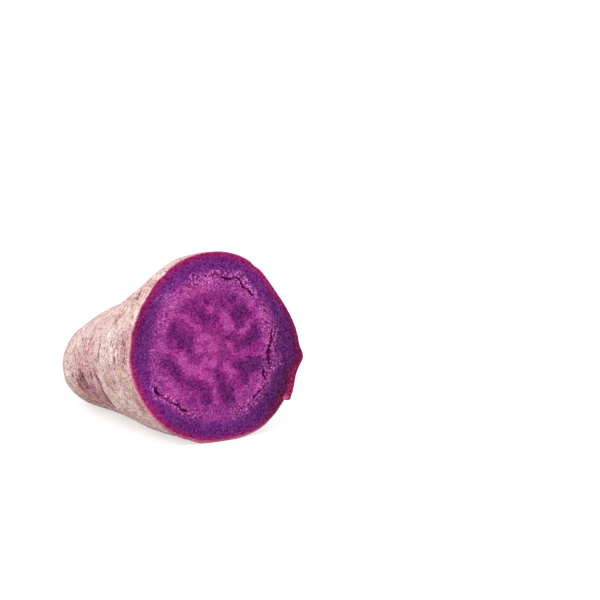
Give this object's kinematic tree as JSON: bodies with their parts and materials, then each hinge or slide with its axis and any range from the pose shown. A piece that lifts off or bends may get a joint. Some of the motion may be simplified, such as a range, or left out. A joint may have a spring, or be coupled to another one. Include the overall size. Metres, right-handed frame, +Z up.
{
  "type": "half purple sweet potato",
  "caption": "Cut half of a raw purple sweet potato lying on its side, with a flat marbled purple face, thin tan-pink skin and a blunt root tip.",
  "frame": {"origin": "under the middle of the half's bounding box, at the level it rests on", "axes": "-Y out of the cut face, +Y towards the root tip, +Z up, as it lies on its side"},
  "size_m": [0.0702, 0.089, 0.0704],
  "materials": {
    "skin": "matte thin cork skin, tan-pink with mauve blotches, fine speckle, growth rings and small dents",
    "flesh": "moist cut flesh: magenta edge line, blue-violet outer ring, marbled magenta and violet core, with torn cracks between them"
  },
  "bodies": {
    "root": {"sweet_potato_half": "skin"}
  },
  "joints": []
}
